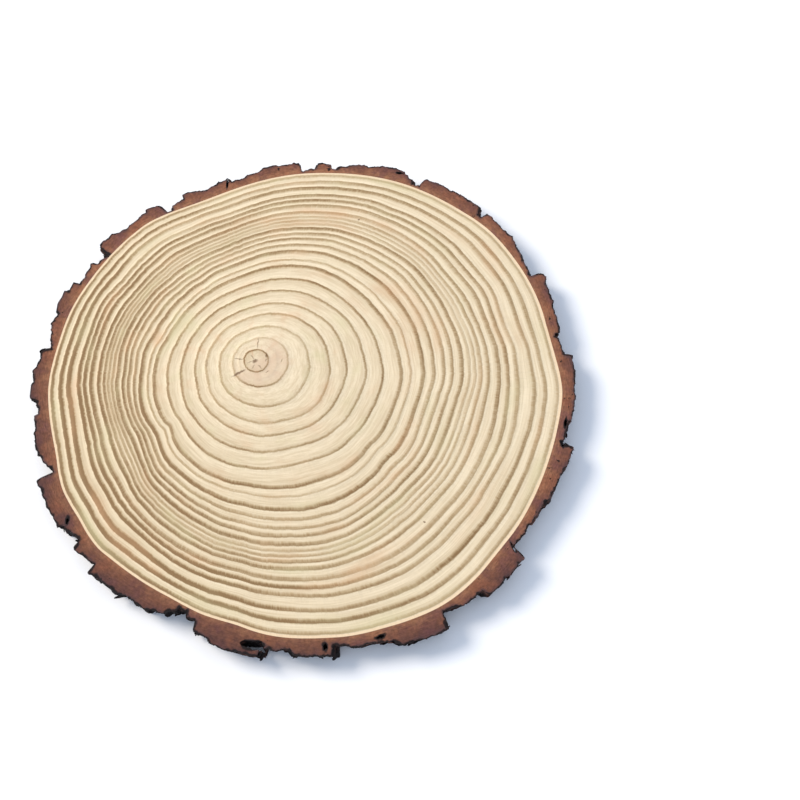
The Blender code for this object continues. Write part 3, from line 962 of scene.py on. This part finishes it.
class Plan:
    """The slice's outline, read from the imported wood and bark."""

    reach = 0.25
    margin = 0.05 * MM
    foot_height = 0.01 * MM
    rim_radius = 0.1
    pith_place = np.array((-29.0, 17.8)) * MM

    def __init__(self) -> None:
        """Read the wood's corners, find their centre and keep the bark for measuring."""
        self.low, self.high = np.array(CAD_BOX[0]), np.array(CAD_BOX[1])
        self.thickness = self.high[2]
        wood = points_of(frame["nodes"]["wood"].data)
        foot = wood[np.abs(wood[:, 2]) < self.foot_height, :2]
        rim = np.unique(np.round(foot[np.hypot(*foot.T) > self.rim_radius], 6), axis=0)
        rim = rim[np.argsort(np.arctan2(rim[:, 1], rim[:, 0]))]
        self.centre = self._crossing(rim)
        away = rim - self.centre
        order = np.argsort(np.round(degrees_of(away) % 360, 1) % 360)
        self.knots = np.hypot(*away[order].T)
        self.pith = self.centre + self.pith_place
        bark = frame["nodes"]["bark"]
        faces = [tuple(face.vertices) for face in bark.data.polygons]
        self.bark = BVHTree.FromPolygons([tuple(v) for v in points_of(bark.data)], faces)

    @staticmethod
    def _crossing(rim: np.ndarray) -> np.ndarray:
        """The point nearest to every line between opposite corners."""
        half = len(rim) // 2
        line = rim[half:] - rim[:half]
        normal = np.stack((-line[:, 1], line[:, 0]), axis=1) / np.hypot(*line.T)[:, None]
        return np.linalg.lstsq(normal, (normal * rim[:half]).sum(axis=1), rcond=None)[0]

    def wood_radius(self, angles: np.ndarray) -> np.ndarray:
        """Radius of the wood's edge round the centre, on a smooth curve through its corners."""
        count = len(self.knots)
        place = (angles % 360) * count / 360
        first = np.floor(place).astype(int) % count
        part = place - np.floor(place)
        before, start, end, after = (self.knots[(first + step) % count] for step in (-1, 0, 1, 2))
        slope, bend = (end - before) / 2, (after - start) / 2
        third = 2 * start - 2 * end + slope + bend
        second = 3 * end - 3 * start - 2 * slope - bend
        return ((third * part + second) * part + slope) * part + start

    def bark_radius(self, angles: np.ndarray, heights: np.ndarray) -> np.ndarray:
        """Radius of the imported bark's outer side, by height and angle."""
        found = np.zeros((len(heights), len(angles)))
        for row, height in enumerate(np.clip(heights, self.margin, self.thickness - self.margin)):
            for column, (x, y) in enumerate(direction(angles)):
                far = self.centre + np.array((x, y)) * self.reach
                hit = self.bark.ray_cast(Vector((*far, height)), Vector((-x, -y, 0)))
                found[row, column] = self.reach - hit[3]
        return found

    def inside(self, points: np.ndarray) -> np.ndarray:
        """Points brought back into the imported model's box."""
        return np.clip(points, self.low, self.high)

    def ring_push(self, ring: np.ndarray, turn: np.ndarray) -> np.ndarray:
        """How far the waves push a ring outward, in ring units, at an angle round the pith."""
        push = hills(RING_WAVES, ring, turn)
        return push * np.minimum(1, 8 * (1 - ring)) * np.minimum(1, 5 * ring)


@dataclass
class WoodDisc:
    """The disc of wood, with its growth rings as fine ridges on the top."""

    plan: Plan
    columns: int = 540
    split: float = 0.0005
    phases: tuple = (0.0, 0.35, 0.75, 1.0)
    relief: float = 0.06 * MM
    fuzz: float = 0.02 * MM
    fuzz_size: float = 2.4 * MM
    edge_rows: int = 4
    waver: float = 0.0013
    wobble_cells: tuple = ((22, 0.7), (70, 0.35), (180, 0.12))
    drift: float = 0.0022
    drift_cells: tuple = (26, 6)
    uneven_cells: tuple = ((9, 0.14), (40, 0.08))
    dark_side: float = 205
    dark_swing: float = 0.40
    inner_side: float = 135
    inner_swing: float = 0.15
    wider: float = 0.03
    narrow_side: float = 140
    narrow_spread: float = 32
    narrower: float = 0.24
    # Sides where painted shade darkens the pale wood: outer rings, then inner rings
    outer_shade_side: float = 222
    inner_shade_side: float = 330
    sharp_angle: float = 40
    seed: int = 11

    def __post_init__(self) -> None:
        """Find how the edge lies round the pith at each column."""
        angles = np.arange(self.columns) * 360 / self.columns
        edge = self.plan.centre + direction(angles) * self.plan.wood_radius(angles)[:, None]
        self.to_edge = edge - self.plan.pith
        self.turn = degrees_of(self.to_edge)
        self.rng = np.random.default_rng(self.seed)
        ends = np.array([end for end, _, _ in YEARS])
        shared = quilt(self.rng, *self.drift_cells, self.turn, ends) * self.drift
        self.wobble = [self._year_wobble(end, sway) for end, sway in zip(ends, shared)]
        self.strength = [self._year_strength(end, late) for end, late, _ in YEARS]

    def _year_wobble(self, end: float, sway: np.ndarray) -> np.ndarray:
        """The small unevenness of one year's line, in ring units, its neighbours' share in it."""
        own = ripples(self.rng, self.wobble_cells, self.turn)
        calm = min(1, 12 * (1 - end)) * min(1, 5 * end)
        return calm * (sway + self.waver * own)

    def _year_strength(self, end: float, late: float) -> np.ndarray:
        """How dark one year's line is round the pith: darkest at the lower left."""
        side = facing(self.turn, self.dark_side) ** 3
        swing = self.dark_swing * end**4 * (2.5 * side - 1)
        swing += self.inner_swing * (1 - end) * np.cos(np.radians(self.turn - self.inner_side))
        uneven = ripples(self.rng, self.uneven_cells, self.turn)
        arcs = np.zeros(self.columns)
        for place, angle, spread, change in YEAR_ARCS:
            if place == end:
                arcs += change * np.exp(-0.5 * (off(self.turn, angle) / spread) ** 2)
        return np.maximum(0, late * (1 + swing + uneven) + arcs)

    def _year_width(self, end: float, band: float) -> np.ndarray:
        """How wide one year's band is round the pith: narrowest at the upper left."""
        away = off(self.turn, self.narrow_side) / self.narrow_spread
        return band * (1 + self.wider * np.cos(np.radians(self.turn - self.dark_side))
                       - self.narrower * end**3 * np.exp(-0.5 * away**2))

    def _rows(self, phases: tuple) -> list[Row]:
        """Rows from the pith outward: their year, phase in the year and ring."""
        rows = []
        start = 0.0
        for year, (end, _, _) in enumerate(YEARS):
            inner = start + self.split if year else 0.006
            outer = end - self.split if end < 1 else 1.0
            rows += [(year, phase, inner + (outer - inner) * phase) for phase in phases]
            start = end
        return rows

    def _face(self, phases: tuple, height: float) -> tuple[np.ndarray, dict[str, np.ndarray]]:
        """Points of one flat face and what its material reads there."""
        rows = self._rows(phases)
        ring = np.array([row[2] for row in rows])[:, None]
        share = ring + self.plan.ring_push(ring, self.turn[None, :])
        for place, (year, phase, _) in enumerate(rows):
            before = self.wobble[year - 1] if year else 0 * self.turn
            share[place] += before * (1 - phase) + self.wobble[year] * phase
        flat = self.plan.pith + self.to_edge[None] * share[..., None]
        points = np.concatenate((flat, np.full((*share.shape, 1), height)), axis=-1)
        phase = np.array([row[1] for row in rows])[:, None] + 0 * share
        return points, {"phase": phase, "ring": ring + 0 * share, **self._year_fields(rows, share)}

    def _year_fields(self, rows: list[Row], share: np.ndarray) -> dict[str, np.ndarray]:
        """What each point knows of its own year's end and of the year's before.

        Args:
            rows: each row's year, phase and ring.
            share: how far out each point lies, from 0 at the pith to 1 at the bark.

        Returns:
            For both years the distance in millimetres, the darkness and the band's width.
        """
        reach = np.hypot(*self.to_edge.T) / MM
        width = [self._year_width(end, band) for end, _, band in YEARS]
        count = len(rows) // len(YEARS)
        now, past = np.zeros((*share.shape, 3)), np.zeros((*share.shape, 3))
        for place, (year, _, _) in enumerate(rows):
            first, last = year * count, (year + 1) * count - 1
            ahead, behind = share[last] - share[place], share[place] - share[first]
            dark = self.strength[year - 1] if year else 0 * reach
            now[place] = np.stack((ahead * reach, self.strength[year], width[year]), axis=-1)
            past[place] = np.stack((behind * reach, dark, width[max(year - 1, 0)]), axis=-1)
        return {"year": now, "before": past}

    def _painted_shade(self, ring: np.ndarray, turn: np.ndarray) -> np.ndarray:
        """Painted shade: how much darker the wood between the bands is at the lower left and near
        the heart.
        """
        outer = 0.045 + 0.05 * np.exp(-(((ring - 0.72) / 0.3) ** 2))
        inner = 0.04 * np.exp(-(((ring - 0.25) / 0.15) ** 2))
        return facing(turn, self.outer_shade_side) * outer + facing(turn, self.inner_shade_side) * inner

    def place_of(self, mark: Mark) -> tuple[Point, float]:
        """A mark's place on the face in metres, and its turn in radians."""
        order = np.argsort(self.turn % 360)
        turns = (self.turn % 360)[order]
        edges = self.to_edge[order].T
        reach = [np.interp(mark.angle, turns, edge, period=360) for edge in edges]
        share = mark.ring + self.plan.ring_push(np.array(mark.ring), np.array(mark.angle))
        spot = self.plan.pith + np.array(reach) * share
        return (float(spot[0]), float(spot[1])), math.radians(mark.angle + mark.turn)

    def _relief_tree(self) -> NodeTree:
        """The rule that lowers each year's start and roughens the sawn face."""
        tree, board, given = new_rule("growth_relief", "Relief", "Fuzz", "Fuzz size")
        phase, top = board.named("phase"), board.named("top")
        sunk = board.minus(board.math("POWER", phase, 1.5), 1.0)
        noise = board.noise(board.out("GeometryNodeInputPosition"),
                            board.math("DIVIDE", 1.0, given["Fuzz size"]))
        rough = board.times(board.times(noise, given["Fuzz"]), -1.0)
        lift = board.times(board.line(sunk, given["Relief"], rough), top)
        moved = board.out("GeometryNodeSetPosition", {
            "Geometry": given["Geometry"], "Offset": board.out("ShaderNodeCombineXYZ", {2: lift})})
        board.dress(board.out("GeometryNodeRealizeInstances", {0: moved}), given["Material"])
        return tree

    def build(self, groups: Groups) -> Object:
        """Build the disc and dress it.

        Args:
            groups: the shared effects.

        Returns:
            The finished piece.
        """
        top_points, top = self._face(self.phases, self.plan.thickness)
        foot_points, foot = self._face((0.0, 1.0), 0.0)
        foot_points = foot_points[::-1]
        steps = np.linspace(0, 1, self.edge_rows + 2)[1:-1, None, None]
        wall_points = top_points[-1] * (1 - steps) + foot_points[0] * steps
        rows = np.concatenate((top_points, wall_points, foot_points))
        poles = [(*self.plan.pith, self.plan.thickness), (*self.plan.pith, 0.0)]
        mesh = lattice("wood", rows, False, poles)
        fields = {}
        for name, above in top.items():
            edge = np.repeat(above[-1:], self.edge_rows, axis=0)
            grid = np.concatenate((above, edge, foot[name][::-1]))
            grid = grid.reshape(-1, *above.shape[2:])
            fields[name] = np.concatenate((grid, above[:1, 0], foot[name][:1, 0]))
        count = len(rows)
        turn = np.concatenate((np.tile(self.turn, count), [0, 0]))
        is_top = np.zeros(count * self.columns + 2)
        is_top[: len(top_points) * self.columns] = 1
        is_top[-2] = 1
        for name in ("phase", "year", "before"):
            set_attribute(mesh, name, fields[name])
        set_attribute(mesh, "top", is_top)
        set_attribute(mesh, "tint", hills(TINTS, fields["ring"], turn))
        # Painted shade on the pale wood at the lower left and near the heart
        set_attribute(mesh, "painted_shade", self._painted_shade(fields["ring"], turn))
        set_attribute(mesh, "grain", np.column_stack((direction(turn), fields["ring"])))
        piece = new_object("wood_disc", mesh)
        marks = [(mark, *self.place_of(mark)) for mark in MARKS]
        finish = SawnPine().material(groups, marks)
        mesh.materials.append(finish)
        add_tree(piece, self._relief_tree(), {"Relief": self.relief, "Fuzz": self.fuzz,
                                              "Fuzz size": self.fuzz_size, "Material": finish})
        settle(piece, self.sharp_angle)
        return piece


@dataclass
class BarkRing:
    """The ring of bark, with its ragged outer side, broken edges and open slits."""

    plan: Plan
    columns: int = 1600
    levels: int = 21
    face_rows: int = 10
    foot_rows: int = 5
    gap: float = 0.03 * MM
    thinnest: float = 1.0 * MM
    chip: float = 0.45 * MM
    pit: float = 0.16 * MM
    nick_step: float = 1.0 * MM
    nick_depth: float = 0.7 * MM
    ragged: tuple = ((1000, 0.26), (330, 0.32), (110, 0.24))
    layers: tuple = ((240, 5, 1.6, 0.42), (420, 9, 1.5, 0.20))
    set_in: float = 0.22
    splinter: float = 0.34
    splinter_cells: tuple = (260, 900)
    crowding: float = 1.8
    deepest: float = 0.55 * MM
    face_band: float = 0.6
    run_radius: float = 145
    slit_sides: int = 26
    slit_ragged: float = 0.34
    sharp_angle: float = 48
    seed: int = 23

    def __post_init__(self) -> None:
        """Shape the outer side and keep it for the flakes."""
        self.rng = np.random.default_rng(self.seed)
        self.angles = np.arange(self.columns) * 360 / self.columns
        self.wood = self.plan.wood_radius(self.angles)
        self.heights = np.linspace(1, 0, self.levels)
        self.side = self._outer_side()

    def _outer_side(self) -> np.ndarray:
        """Radius of the outer side by level and column, roughened and layered."""
        radius = self.plan.bark_radius(self.angles, self.heights * self.plan.thickness)
        jump = np.abs(np.roll(radius, -1, axis=1) - radius)
        nick = np.maximum(jump, np.roll(jump, 1, axis=1)) > self.nick_step
        rough = ripples(self.rng, self.ragged, self.angles)
        for round_cells, up_cells, sharp, size in self.layers:
            sheets = quilt(self.rng, round_cells, up_cells, self.angles, self.heights)
            rough = rough + np.round(sharp * sheets) * size
        radius = self._splintered(radius + (rough - self.set_in) * MM - nick * self.nick_depth)
        return np.maximum(radius, self.wood + self.thinnest)

    def _splintered(self, radius: np.ndarray) -> np.ndarray:
        """The outer side with splinters where a scale ends."""
        slow_cells, quick_cells = self.splinter_cells
        slow = ripple(self.rng, slow_cells, self.angles) * self.splinter
        rows = []
        for row in radius:
            place = self.angles + slow + ripple(self.rng, quick_cells, self.angles) * self.splinter
            rows.append(np.interp(place, self.angles, row, period=360))
        return np.array(rows)

    def _section(self) -> np.ndarray:
        """Rows of points round the bark's section, from the top's inner edge outward."""
        thickness = self.plan.thickness
        rows = []
        inner = self.wood + self.gap
        for share in self._shares(self.face_rows):
            rows.append((inner * (1 - share) + self.side[0] * share, thickness - self._drop(share)))
        for level in range(1, self.levels - 1):
            rows.append((self.side[level], self.heights[level] * thickness + 0 * self.angles))
        for share in self._shares(self.foot_rows)[::-1]:
            rows.append((inner * (1 - share) + self.side[-1] * share, self._drop(share)))
        radius, height = (np.array(part)[..., None] for part in zip(*rows))
        return np.concatenate((radius * direction(self.angles) + self.plan.centre, height), axis=-1)

    def _shares(self, rows: int) -> np.ndarray:
        """How far across a cut face each of its rows lies, closer together outward."""
        return 1 - (1 - np.linspace(0, 1, rows)) ** self.crowding

    def _drop(self, share: float) -> np.ndarray:
        """How far a row of a cut face lies in from the saw's plane: nothing at the wood."""
        if share == 0:
            return 0 * self.angles
        pits = np.abs(ripple(self.rng, 700, self.angles)) ** 2 * self.pit
        chips = np.clip(ripple(self.rng, 300, self.angles) + 0.3, 0, 1) * self.chip * share**14
        return np.minimum(pits + chips, self.deepest)

    def _slit_cutters(self) -> bpy.types.Collection:
        """Upright bars with a ragged oval section, one for each slit."""
        cutters = bpy.data.collections.new("slit_cutters")
        bpy.context.scene.collection.children.link(cutters)
        tall = self.plan.thickness
        for number, (angle, depth, length, width, turn) in enumerate(BARK_SLITS):
            form = bmesh.new()
            bmesh.ops.create_cone(form, cap_ends=True, segments=self.slit_sides, radius1=0.5,
                                  radius2=0.5, depth=2 * tall)
            ragged = ripple(self.rng, self.slit_sides // 2, np.arange(360.0)) * self.slit_ragged
            place = Matrix.Translation((*self.slit_place(angle, depth), tall / 2))
            place @= Matrix.Rotation(math.radians(angle + 90 + turn), 4, "Z")
            for corner in form.verts:
                x, y, z = corner.co
                swell = (1.0 + ragged[int(math.degrees(math.atan2(y, x))) % 360]) * MM
                corner.co = place @ Vector((x * length * swell, y * width * swell, z))
            mesh = bpy.data.meshes.new(f"slit_{number}")
            form.to_mesh(mesh)
            form.free()
            cutter = bpy.data.objects.new(f"slit_{number}", mesh)
            cutter.hide_render = True
            cutters.objects.link(cutter)
        return cutters

    def slit_place(self, angle: float, depth: float) -> np.ndarray:
        """A slit's middle, from its angle and its distance from the wood in millimetres."""
        radius = self.plan.wood_radius(np.array([float(angle)]))[0] + depth * MM
        return self.plan.centre + direction(np.array(float(angle))) * radius

    def _slit_distance(self, points: np.ndarray) -> np.ndarray:
        """Distance in millimetres from each point to the nearest slit's edge."""
        nearest = np.full(len(points), 99.0)
        for angle, depth, length, width, turn in BARK_SLITS:
            away = (points[:, :2] - self.slit_place(angle, depth)) / MM
            run = direction(np.array(float(angle + 90 + turn)))
            along, across = away @ run, away @ np.array((-run[1], run[0]))
            size = np.hypot(along / (length / 2), across / (width / 2))
            nearest = np.minimum(nearest, np.maximum(0, size - 1) * (width + length) / 4)
        return nearest

    def store(self, mesh: Mesh, points: np.ndarray, to_edge: np.ndarray) -> None:
        """Store what the bark's material reads.

        Args:
            mesh: the mesh that gets the values.
            points: its points.
            to_edge: the distance to the edge of the cut face at each point, in millimetres.
        """
        away = points[:, :2] - self.plan.centre
        angles = degrees_of(away)
        depth = (np.hypot(*away.T) - self.plan.wood_radius(angles)) / MM
        run = direction(angles) * self.run_radius
        set_attribute(mesh, "from_wood", depth)
        set_attribute(mesh, "to_edge", to_edge)
        set_attribute(mesh, "run", np.column_stack((run, depth + points[:, 2] / MM)))

    def _to_edge(self, points: np.ndarray) -> np.ndarray:
        """Distance in millimetres to the edge of the cut face, below 0 down the side."""
        trees = []
        for level in (0, -1):
            line = self.plan.centre + direction(self.angles) * self.side[level][:, None]
            after = np.roll(line, -1, axis=0)
            line = np.concatenate([line * (1 - s) + after * s for s in (0, 0.33, 0.67)])
            tree = KDTree(len(line))
            for number, (x, y) in enumerate(line):
                tree.insert((x, y, 0), number)
            tree.balance()
            trees.append(tree)
        height, tall = points[:, 2] / MM, self.plan.thickness / MM
        below = np.minimum(tall - height, height)
        edge = -below
        on_face = np.nonzero(below < self.face_band)[0]
        for number in on_face:
            tree = trees[0 if height[number] > tall / 2 else 1]
            edge[number] = tree.find((points[number, 0], points[number, 1], 0))[2] / MM
        slits = self._slit_distance(points)
        edge[on_face] = np.minimum(edge[on_face], slits[on_face])
        return edge

    def build(self, groups: Groups) -> Object:
        """Build the bark and dress it.

        Args:
            groups: the shared effects.

        Returns:
            The finished piece.
        """
        rows = self.plan.inside(self._section())
        mesh = lattice("bark", rows, True)
        piece = new_object("bark_ring", mesh)
        cutters = self._slit_cutters()
        cut = piece.modifiers.new("slits", "BOOLEAN")
        cut.operation = "DIFFERENCE"
        cut.operand_type = "COLLECTION"
        cut.collection = cutters
        cut.solver = "EXACT"
        settle(piece, self.sharp_angle)
        for cutter in list(cutters.objects):
            bpy.data.objects.remove(cutter)
        bpy.data.collections.remove(cutters)
        points = points_of(piece.data)
        self.store(piece.data, points, self._to_edge(points))
        piece.data.materials.clear()
        piece.data.materials.append(PineBark().material("pine_bark_cut", groups))
        return piece


@dataclass
class BarkFlakes:
    """Thin flakes that lie on the bark's outer side."""

    bark: BarkRing
    density: float = 30000.0
    length: float = 3.0 * MM
    height: float = 1.7 * MM
    thickness: float = 0.35 * MM
    ragged: float = 0.55 * MM
    ragged_size: float = 1.4 * MM
    sunk: float = 0.12 * MM
    low: float = 0.28
    high: float = 0.74
    corners: int = 11
    lean: float = 0.5
    smallest: tuple = (0.5, 0.5, 0.7)
    largest: tuple = (1.25, 1.25, 1.3)
    merged: float = 0.01 * MM
    down_side: float = -2.0
    sharp_angle: float = 40
    seed: int = 5

    def _tree(self) -> NodeTree:
        """The rule that scatters ragged flakes over a wall."""
        tree, board, given = new_rule("bark_flakes", "Density", "Length", "Height", "Thickness",
                                      "Ragged", "Ragged size", Seed="Int")
        spots = board.node("GeometryNodeDistributePointsOnFaces", {
            "Mesh": given["Geometry"], "Density": given["Density"], "Seed": given["Seed"]},
            distribute_method="RANDOM")
        disc = board.out("GeometryNodeMeshCircle", {"Vertices": self.corners, "Radius": 1.0},
                         fill_type="NGON")
        scale = board.out("ShaderNodeCombineXYZ", {0: given["Length"], 1: given["Height"], 2: 1.0})
        oval = board.out("GeometryNodeTransform", {"Geometry": disc, "Scale": scale})
        raised = board.out("GeometryNodeExtrudeMesh", {
            "Mesh": oval, "Offset Scale": given["Thickness"]}, mode="FACES")
        both = board.node("GeometryNodeJoinGeometry")
        for part in (raised, board.out("GeometryNodeFlipFaces", {0: oval})):
            board.tree.links.new(part, both.inputs[0])
        flake = board.out("GeometryNodeMergeByDistance", {
            "Geometry": both.outputs[0], "Distance": self.merged})
        spin = board.out("FunctionNodeRandomValue", {
            2: -self.lean, 3: self.lean, "Seed": given["Seed"]}, 1, data_type="FLOAT")
        turn = board.out("ShaderNodeCombineXYZ", {2: spin})
        rotation = board.out("FunctionNodeRotateRotation", {
            0: spots.outputs["Rotation"], 1: turn}, rotation_space="LOCAL")
        size = board.out("FunctionNodeRandomValue", {
            0: self.smallest, 1: self.largest, "Seed": given["Seed"]}, data_type="FLOAT_VECTOR")
        placed = board.out("GeometryNodeInstanceOnPoints", {
            "Points": spots.outputs[0], "Instance": flake, "Rotation": rotation, "Scale": size})
        real = board.out("GeometryNodeRealizeInstances", {0: placed})
        inputs = {"Vector": board.out("GeometryNodeInputPosition"),
                  "Scale": board.math("DIVIDE", 1.0, given["Ragged size"]), "Detail": 1.0}
        noise = board.out("ShaderNodeTexNoise", inputs, "Color")
        push = board.vector("SUBTRACT", noise, (0.5, 0.5, 0.5))
        offset = board.out("ShaderNodeVectorMath", {
            0: push, "Scale": board.times(given["Ragged"], 2.0)}, operation="SCALE")
        inputs = {"Geometry": real, "Offset": offset}
        board.dress(board.out("GeometryNodeSetPosition", inputs), given["Material"])
        return tree

    def build(self, groups: Groups) -> Object:
        """Build the flakes and dress them.

        Args:
            groups: the shared effects.

        Returns:
            The finished piece.
        """
        bark = self.bark
        keep = (bark.heights > self.low) & (bark.heights < self.high)
        radius = bark.side[keep] - self.sunk
        flat = radius[..., None] * direction(bark.angles) + bark.plan.centre
        height = bark.heights[keep][:, None, None] * bark.plan.thickness
        height = np.broadcast_to(height, (*radius.shape, 1))
        mesh = lattice("bark_flakes", np.concatenate((flat, height), axis=-1), False)
        piece = new_object("bark_flakes", mesh)
        finish = PineBark().material("pine_bark_flake", groups)
        mesh.materials.append(finish)
        add_tree(piece, self._tree(), {
            "Density": self.density, "Length": self.length, "Height": self.height,
            "Thickness": self.thickness, "Ragged": self.ragged, "Ragged size": self.ragged_size,
            "Seed": self.seed, "Material": finish})
        settle(piece, self.sharp_angle)
        points = bark.plan.inside(points_of(piece.data))
        piece.data.vertices.foreach_set("co", points.astype(np.float32).ravel())
        bark.store(piece.data, points, np.full(len(points), self.down_side))
        return piece


@dataclass
class Studio:
    """White floor, soft light from the upper left, and the camera."""

    plan: Plan
    aim: Point = (53 * MM, -6 * MM)
    elevation: float = 68.0
    distance: float = 0.8711
    lens: float = 70.0
    sensor: float = 36.0
    floor_size: float = 12.0
    floor_height: float = -0.02 * MM
    key_place: tuple = (-3.43, 1.31, 3.24)
    key_size: float = 2.34
    key_power: float = 226.0
    key_tone: tuple = (1.0, 0.91, 0.78)
    sky_tone: tuple = (0.74, 0.84, 1.0)
    sky_power: float = 0.86

    def _floor(self) -> None:
        """Lay the floor just under the slice."""
        half = self.floor_size / 2
        mesh = bpy.data.meshes.new("floor")
        corners = ((-half, -half), (half, -half), (half, half), (-half, half))
        mesh.from_pydata([(x, y, self.floor_height) for x, y in corners], [], [(0, 1, 2, 3)])
        floor = new_object("floor", mesh)
        mesh.materials.append(WhiteFloor().material())

    def _lights(self) -> None:
        """Hang the soft key light and light the surroundings."""
        key = bpy.data.lights.new("key", "AREA")
        key.shape = "DISK"
        key.size = self.key_size
        key.energy = self.key_power
        key.color = self.key_tone
        lamp = bpy.data.objects.new("key", key)
        lamp.location = self.key_place
        lamp.rotation_euler = (-Vector(self.key_place)).to_track_quat("-Z", "Y").to_euler()
        bpy.context.scene.collection.objects.link(lamp)
        world = bpy.data.worlds.new("studio")
        world.use_nodes = True
        board = Board(world.node_tree)
        sky = board.out("ShaderNodeBackground", {
            "Color": (*self.sky_tone, 1.0), "Strength": self.sky_power})
        board.node("ShaderNodeOutputWorld", {0: sky})
        bpy.context.scene.world = world

    def _camera(self) -> None:
        """Set the camera at the photograph's angle."""
        data = bpy.data.cameras.new("camera")
        data.lens = self.lens
        data.sensor_width = self.sensor
        camera = bpy.data.objects.new("camera", data)
        rise = math.radians(self.elevation)
        x, y = self.plan.centre + np.array(self.aim)
        camera.location = (x, y - self.distance * math.cos(rise),
                           self.plan.thickness + self.distance * math.sin(rise))
        camera.rotation_euler = (math.pi / 2 - rise, 0, 0)
        bpy.context.scene.collection.objects.link(camera)
        bpy.context.scene.camera = camera

    def build(self) -> None:
        """Set up the floor, the lights and the camera."""
        self._floor()
        self._lights()
        self._camera()
        bpy.context.scene.view_settings.view_transform = "Standard"


def hand_over(piece: Object, slot: Slot, *nodes: str) -> None:
    """Let a piece ride on the slice's body, hide the imported nodes it takes the place of and log
    its faces.
    """
    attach(piece, BODY)
    if nodes:
        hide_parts(*nodes)
    LOG.info("%s: %d faces", piece.name, len(piece.data.polygons))


def main() -> None:
    """Build the wood, the bark and its flakes, then the studio."""
    logging.basicConfig(level=logging.INFO, format="%(name)s: %(message)s")
    plan = Plan()
    groups = Groups()
    hand_over(WoodDisc(plan).build(groups), Slot.WOOD, "wood")
    bark = BarkRing(plan)
    hand_over(bark.build(groups), Slot.BARK, "bark")
    hand_over(BarkFlakes(bark).build(groups), Slot.BARK)
    Studio(plan).build()


if __name__ == "__main__":
    main()
